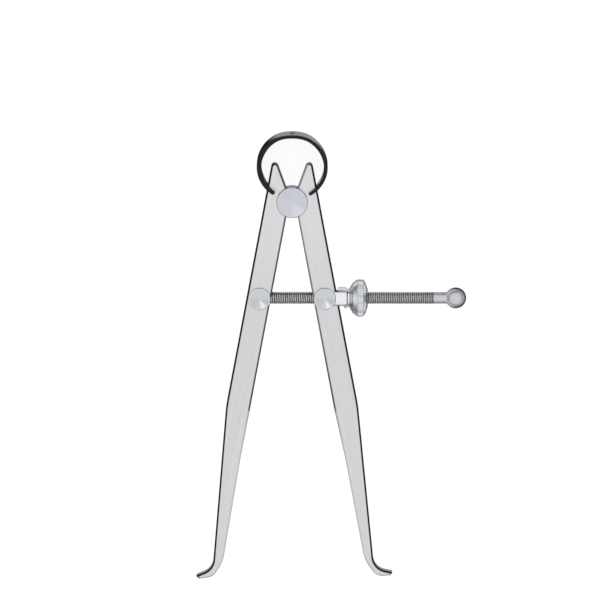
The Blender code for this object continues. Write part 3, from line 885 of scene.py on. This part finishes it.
screw = {
    "radius": 0.00195,
    "rootRadius": 0.00163,
    "pitch": 0.0007,
    "rootBack": 0.0010,
    "rootGap": 0.0003,
    "threadEnd": 0.0557,
    "perTurn": 36,
    "section": ((0.0, 0.0), (0.05, 0.0), (0.27, 0.95), (0.31, 1.0), (0.69, 1.0), (0.73, 0.95)),
    "sharp": 30.0,
    "neckRadius": 0.00181,
    "neckBack": 0.0004,
    "neckRound": 0.00005,
    "neckShort": 0.0002,
    "neckSteps": 6,
    "ballRadius": 0.00335,
    "ballCentre": 0.0627,
    "ballFlare": (0.00003, 0.0001),
    "ballFrom": 0.05,
    "ballSteps": 40,
    "look": {
        "axis": "X",
        "glancing": (0.05, 0.05, 0.055, 1.0),
        # painted light and shade on the thread: the upper flanks a lighter grey as painted highlight, the
        # roots near black as painted shade
        "bevelTo": 0.3,
        "bevelHighlightColour": (0.60, 0.60, 0.61, 1.0),
        "paintedRimColour": (0.12, 0.12, 0.13, 1.0),
        "rimFrom": 0.5,
        "rimTo": 0.70,
        "markScale": 4000.0,
        "mottleScale": 1100.0,
        "markTone": 0.3,
        "mottleTone": 1.8,
        "darkColour": (0.25, 0.255, 0.26, 1.0),
        "lightColour": (0.67, 0.675, 0.69, 1.0),
        "roughness": 0.30,
        "mottleRough": 0.12,
        "bump": 0.1,
        "bumpDepth": 0.00002,
    },
    "ballLook": {
        "axis": "X",
        "glancing": (0.0, 0.0, 0.0, 1.0),
        "markScale": 3000.0,
        "mottleScale": 1300.0,
        "markTone": 0.2,
        "mottleTone": 0.8,
        "darkColour": (0.47, 0.48, 0.515, 1.0),
        "lightColour": (0.68, 0.69, 0.745, 1.0),
        "roughness": 0.36,
        "mottleRough": 0.10,
        "bump": 0.05,
        "bumpDepth": 0.00002,
    },
}


def makeThread(material):
    # one sheet wound round the axis: each row is the thread's section, and meets its start a turn later
    perTurn = screw["perTurn"]
    pitch = screw["pitch"]
    deep = screw["radius"] - screw["rootRadius"]
    section = screw["section"]
    start = -screw["rootBack"]
    end = screw["threadEnd"]
    turns = math.ceil((end - start) / pitch) + 1
    chamfer = screw["radius"] - screw["neckRadius"]
    bm = bmesh.new()
    rows = []
    for i in range((turns + 1) * perTurn + 1):
        angle = 2 * math.pi * i / perTurn
        row = []
        for share, height in section:
            along = start - pitch + pitch * (i / perTurn + share)
            reach = screw["rootRadius"] + deep * height
            inside = min(max(along, start), end)
            most = screw["radius"] - max(0.0, chamfer - (end - inside))
            reach = min(reach, most - max(0.0, chamfer - (inside - start)))
            row.append(bm.verts.new((inside, reach * math.cos(angle), reach * math.sin(angle))))
        rows.append(row)
    count = len(section)
    for i in range(len(rows) - 1):
        for j in range(count):
            one = rows[i]
            two = rows[i + 1]
            if j < count - 1:
                bm.faces.new((one[j], one[j + 1], two[j + 1], two[j]))
            elif i + 1 + perTurn < len(rows):
                later = rows[i + perTurn]
                afterThat = rows[i + 1 + perTurn]
                bm.faces.new((one[j], later[0], afterThat[0], two[j]))
    bmesh.ops.dissolve_degenerate(bm, dist=1e-7, edges=bm.edges)
    obj = finishObject("screwThread", bm, material, leftStud, sharp=screw["sharp"])
    # how deep each point lies in the thread, which the look turns into painted highlight on the flanks and
    # painted shade in the roots
    depths = [(screw["radius"] - vert.co.yz.length) / deep for vert in obj.data.vertices]
    return markPoints(obj, "edge", depths)


def makeNeckAndBall(material):
    reach = screw["ballRadius"]
    neck = screw["neckRadius"]
    centre = screw["ballCentre"]
    end = screw["threadEnd"]
    inside = end - screw["neckBack"]
    rounding = screw["neckRound"]
    profile = [(inside, 0), (inside, screw["rootRadius"]), (end, neck - rounding), (end + rounding, neck)]
    neckEnd = centre - math.sqrt(reach ** 2 - neck ** 2)
    neckSteps = screw["neckSteps"]
    for k in range(1, neckSteps + 1):
        profile.append((end + (neckEnd - screw["neckShort"] - end) * k / neckSteps, neck))
    first = math.pi - math.asin(neck / reach) - screw["ballFrom"]
    flareAlong, flareOut = screw["ballFlare"]
    profile.append((neckEnd + flareAlong, neck + flareOut))
    ballSteps = screw["ballSteps"]
    for k in range(ballSteps):
        angle = first * (1 - k / ballSteps)
        profile.append((centre + reach * math.cos(angle), reach * math.sin(angle)))
    profile.append((centre + reach, 0))
    return settle(finishObject("screwBall", turned(profile, "X"), material, leftStud))


# Thrust collar

collar = {
    "radius": 0.00338,
    "end": 0.0072,
    "round": 0.0006,
    "boreRound": 0.0001,
    "arcStep": 8.0,
    "seatReach": 0.01,
    "slotHigh": 1.2,
    "slotSteps": 4,
    "look": {
        "axis": "X",
        "glancing": (0.0, 0.0, 0.0, 1.0),
        "markScale": 5000.0,
        "mottleScale": 1500.0,
        "markTone": 0.3,
        "mottleTone": 0.3,
        "darkColour": (0.72, 0.71, 0.74, 1.0),
        "lightColour": (0.95, 0.94, 0.97, 1.0),
        "roughness": 0.30,
        "mottleRough": 0.08,
        "bump": 0.1,
        "bumpDepth": 0.00002,
    },
}


def makeCollar(material):
    corners = [
        (0.0, stud["bore"], 0),
        (collar["end"], stud["bore"], collar["boreRound"]),
        (collar["end"], collar["radius"], collar["round"]),
        (0.0, collar["radius"], 0),
    ]
    profile = roundedProfile(corners, collar["arcStep"])
    obj = finishObject("thrustCollar", turned(profile, "X"), material, rightStud)
    rim = stud["headRadius"] + stud["runningGap"]
    carve(obj, "collarSeat", cylinder(rim, -collar["seatReach"], collar["seatReach"]))
    legEdge = legs["outer"] - legs["studOut"]
    half = legs["thick"] / 2 + legs["sideGap"]
    high = collar["radius"] * collar["slotHigh"]
    steps = collar["slotSteps"]
    plan = [Vector((-collar["radius"], -high)), Vector((-collar["radius"], high))]
    tilts = (legs["tilt"] - legs["closing"], legs["tilt"], legs["tilt"] + legs["opening"])
    for k in range(steps + 1):
        up = high * (1 - 2 * k / steps)
        reach = max((legEdge - up * math.sin(tilt)) / math.cos(tilt) for tilt in tilts)
        plan.append(Vector((reach + stud["runningGap"], up)))
    plan.reverse()
    carve(obj, "collarSlot", loft([(-half, plan), (half, plan)]))
    return settle(obj)


# Knurled nut

nut = {
    "gap": 0.0001,
    "length": 0.00645,
    "neckRadius": 0.0029,
    "neckLength": 0.00055,
    "flareLength": 0.0017,
    "flareRadius": 0.0049,
    "rimStart": 0.0031,
    "rimRadius": 0.0060,
    "rimWidth": 0.0020,
    "shoulderRadius": 0.0047,
    "shoulderBack": 0.0006,
    "faceRadius": 0.0028,
    "bore": 0.00201,
    "teeth": 60,
    "toothDepth": 0.00013,
    "toothHeights": (0.0, 0.0, 0.5, 1.0, 1.0, 0.5),
    "knurlBand": 1.5,
    "sharp": 30.0,
    "fineRound": 0.00005,
    "boreRound": 0.0001,
    "edgeRound": 0.0002,
    "shoulderRound": 0.0006,
    "rimRound": 0.00008,
    "flareRound": 0.0008,
    "neckRound": 0.0004,
    "look": {
        "axis": "X",
        "glancing": (0.05, 0.05, 0.055, 1.0),
        # painted light and shade on the knurl: tooth tops a lighter grey as painted highlight, grooves
        # darker as painted shade
        "bevelTo": 0.3,
        "bevelHighlightColour": (0.80, 0.82, 0.85, 1.0),
        "paintedRimColour": (0.52, 0.54, 0.57, 1.0),
        "rimFrom": 0.6,
        "rimTo": 0.80,
        "markScale": 5000.0,
        "mottleScale": 1500.0,
        "markTone": 0.35,
        "mottleTone": 0.35,
        "darkColour": (0.70, 0.72, 0.76, 1.0),
        "lightColour": (0.90, 0.92, 0.96, 1.0),
        "roughness": 0.26,
        "mottleRough": 0.10,
        "bump": 0.12,
        "bumpDepth": 0.00002,
    },
}


def makeNut(material):
    start = collar["end"] + nut["gap"]
    end = start + nut["length"]
    rimFrom = start + nut["rimStart"]
    rimTo = rimFrom + nut["rimWidth"]
    rim = nut["rimRadius"]
    depth = nut["toothDepth"]
    corners = [
        (start, nut["bore"], nut["fineRound"]),
        (end, nut["bore"], nut["boreRound"]),
        (end, nut["faceRadius"], nut["edgeRound"]),
        (end - nut["shoulderBack"], nut["shoulderRadius"], nut["shoulderRound"]),
        (rimTo, rim - depth, nut["fineRound"]),
        (rimTo - depth, rim, nut["rimRound"]),
        (rimFrom + depth, rim, nut["rimRound"]),
        (rimFrom, rim - depth, nut["fineRound"]),
        (start + nut["flareLength"], nut["flareRadius"], nut["flareRound"]),
        (start + nut["neckLength"], nut["neckRadius"], nut["neckRound"]),
        (start, nut["neckRadius"], nut["edgeRound"]),
    ]
    profile = roundedProfile(corners)
    heights = nut["toothHeights"]
    perTooth = len(heights)

    def tooth(along, radius, k):
        if rimFrom < along < rimTo and radius > rim - depth:
            return radius - depth * heights[k % perTooth]
        return radius

    shape = turned(profile, "X", nut["teeth"] * perTooth, tooth)
    obj = settle(finishObject("adjustingNut", shape, material, rightStud), nut["sharp"])
    # how deep each point lies in the knurl, which the look turns into painted highlight on the tooth tops
    # and painted shade in the grooves
    grooves = []
    for vert in obj.data.vertices:
        sunk = (rim - vert.co.yz.length) / depth
        onKnurl = rimFrom < vert.co.x < rimTo and sunk < nut["knurlBand"]
        grooves.append(min(max(sunk, 0.0), 1.0) if onKnurl else 0.0)
    return markPoints(obj, "edge", grooves)


# Floor, lamps and camera

studio = {
    "floorSize": (8.0, 8.0),
    "floorDrop": 0.00005,
    "floorColour": (0.30, 0.30, 0.30, 1.0),
    "cameraWhite": 0.86,
    "world": 0.93,
    "softbox": {
        "size": (4.0, 4.0),
        "power": 1.5,
        "place": (0, -0.18, 1.2),
        "turn": (0, 0, 0),
    },
    "backLamp": {
        "size": (1.2, 0.5),
        "power": 0.1,
        "place": (0, 0.9, 0.3),
        "turn": (math.radians(-80), 0, 0),
    },
    "flagOut": 0.17,
    "flagHigh": 0.06,
    "flagGreys": (0.55, 0.12, 0.55, 0.08),
    "cardGrey": 0.03,
    "cardHigh": 0.00002,
    "cardSoft": 0.6,
    "cards": {
        "ballCard": ((0.0643, -0.0100), (0.050, 0.070)),
        "bowLeftCard": ((-0.0125, 0.045), (0.016, 0.032)),
        "bowRightCard": ((0.0160, 0.045), (0.016, 0.032)),
    },
}

camera = {
    "raised": math.radians(7.5),
    "distance": 3.0,
    "pixels": 600,
    "pixelWide": 0.0003196,
    "sensor": 36.0,
    "clipStart": 0.1,
    "clipEnd": 20.0,
    "aim": Vector((0.002525, -0.03169, 0.0)),
}


def makeCard(name, size, place, turn, material):
    bm = bmesh.new()
    wide = size[0] / 2
    high = size[1] / 2
    corners = ((-wide, -high), (wide, -high), (wide, high), (-wide, high))
    bm.faces.new([bm.verts.new((x, y, 0)) for x, y in corners])
    mesh = meshFrom(name, bm)
    mesh.materials.append(material)
    obj = addObject(name, mesh, place, turn)
    return obj


def onlyReflected(card):
    card.visible_camera = False
    card.visible_shadow = False
    card.visible_diffuse = False


def seenDirectly(look):
    # 1 where the camera, metal or glass sees the background, 0 where it only lights the caliper
    path = look.node("LightPath").socket.node.outputs
    seen = Sock(look, path["Is Camera Ray"])
    for ray in ("Is Glossy Ray", "Is Transmission Ray"):
        seen = look.node("Math", {"operation": "MAXIMUM"}, {0: seen, 1: Sock(look, path[ray])})
    return seen


def makeFloorLook():
    look = Look("floor")
    seen = seenDirectly(look)
    plain = look.node("BsdfDiffuse", values={"Color": studio["floorColour"]})
    glow = look.node("Emission", values={"Color": (1.0, 1.0, 1.0, 1.0), "Strength": studio["cameraWhite"]})
    white = look.node("AddShader", values={0: plain, 1: glow})
    return look.finish("MixShader", {0: seen, 1: plain, 2: white})


def makeCardLook():
    look = Look("darkCard")
    grey = studio["cardGrey"]
    plain = look.node("BsdfDiffuse", values={"Color": (grey, grey, grey, 1.0)})
    across = look.parts(look.node("TexCoord", output="Generated"))[0]
    fromMiddle = across.maths("ABSOLUTE", across * 2 - 1)
    solid = look.ramp(fromMiddle, 1 - studio["cardSoft"], 1.0, 1.0, 0.0)
    return look.finish("MixShader", {0: solid, 1: look.node("BsdfTransparent"), 2: plain})


def makeLamp(name, settings):
    data = bpy.data.lights.new(name, "AREA")
    data.shape = "RECTANGLE"
    data.size, data.size_y = settings["size"]
    data.energy = settings["power"]
    addObject(name, data, settings["place"], settings["turn"]).visible_camera = False


def makeStudio():
    flat = (0, 0, 0)
    makeCard("floor", studio["floorSize"], (0, 0, -studio["floorDrop"]), flat, makeFloorLook())
    # grey flags that stand round the caliper
    high = studio["flagHigh"]
    out = studio["flagOut"]
    for k, level in enumerate(studio["flagGreys"]):
        name = "flag" + str(k)
        grey = Look(name).finish("BsdfDiffuse", {"Color": (level, level, level, 1.0)})
        turn = math.pi / 2 * k
        spot = (out * math.cos(turn), out * math.sin(turn), high / 2)
        onlyReflected(makeCard(name, (high, 2 * out), spot, (0, math.pi / 2, turn), grey))
    # dark cards on the floor, seen only in the polished metal above them
    cardLook = makeCardLook()
    for name, (offset, size) in studio["cards"].items():
        spot = (pivot.x + offset[0], leftStud.y + offset[1], studio["cardHigh"])
        onlyReflected(makeCard(name, size, spot, flat, cardLook))
    for name in ("softbox", "backLamp"):
        makeLamp(name, studio[name])
    world = bpy.data.worlds.new("studio")
    bpy.context.scene.world = world
    look = Look("studio", world)
    level = studio["world"] + (1 - studio["world"]) * seenDirectly(look)
    sky = look.node("Background", values={"Color": (1.0, 1.0, 1.0, 1.0), "Strength": level})
    look.node("OutputWorld", values={"Surface": sky})


def makeCamera():
    data = bpy.data.cameras.new("camera")
    data.sensor_width = camera["sensor"]
    data.lens = camera["sensor"] * camera["distance"] / (camera["pixels"] * camera["pixelWide"])
    data.clip_start = camera["clipStart"]
    data.clip_end = camera["clipEnd"]
    back = Vector((0, math.sin(camera["raised"]), math.cos(camera["raised"])))
    spot = pivot + camera["aim"] + back * camera["distance"]
    bpy.context.scene.camera = addObject("camera", data, spot, (-camera["raised"], 0, 0))


# The caliper

legMaterial = legSteel("satinSteel", legs["look"])
replaceNode(makeLeg("leftLeg", left, legMaterial), "left_leg", "left_leg")
replaceNode(makeLeg("rightLeg", right, legMaterial), "right_leg", "right_leg")
print("legs made")

rollerMaterial = turnedSteel("rollerSteel", roller["look"])
replaceNode(makeRoller(rollerMaterial), "head", "pivot_roller")
springMaterial = blackSpring("springSteel", bow["look"])
wholeBow = makeBow(springMaterial)
crown = pivot + bowPoint(right, -math.pi / 2)
for side, legBody, name in ((left, "left_leg", "bowLeft"), (right, "right_leg", "bowRight")):
    halfBow = halfOfBow(wholeBow, name, side)
    seat = pivot + bowPoint(side, forkDrop(side))
    if side == left:
        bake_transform(halfBow)
    else:
        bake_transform(halfBow)
    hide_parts("bow_spring")
bpy.data.objects.remove(wholeBow, do_unlink=True)
print("roller and bow made")

studMaterial = turnedSteel("studSteel", stud["look"])
leftBore = -screw["rootBack"] - screw["rootGap"]
leftPiece = makeStud("leftStud", leftStud, leftBore, studMaterial)
replaceNode(leftPiece, "screw", "left_stud")
rightPiece = makeStud("rightStud", rightStud, -stud["boreReach"], studMaterial)
replaceNode(rightPiece, "right_stud", "right_stud")
leftWasher = makeWasher("leftStudWasher", leftStud, studMaterial)
replaceNode(leftWasher, "screw", "left_stud_washer")
rightWasher = makeWasher("rightStudWasher", rightStud, studMaterial)
replaceNode(rightWasher, "right_stud", "right_stud_washer")
print("studs made")

threadMaterial = turnedSteel("threadSteel", screw["look"])
ballMaterial = turnedSteel("ballSteel", screw["ballLook"])
replaceNode(makeThread(threadMaterial), "screw", "adjusting_screw")
replaceNode(makeNeckAndBall(ballMaterial), "screw", "adjusting_screw")
collarMaterial = turnedSteel("collarSteel", collar["look"])
replaceNode(makeCollar(collarMaterial), "right_stud", "thrust_collar")
nutMaterial = turnedSteel("nutSteel", nut["look"])
replaceNode(makeNut(nutMaterial), "nut", "adjusting_nut")
print("screw, collar and nut made")

makeStudio()
makeCamera()
bpy.context.scene.view_settings.view_transform = "Standard"
print("studio made")
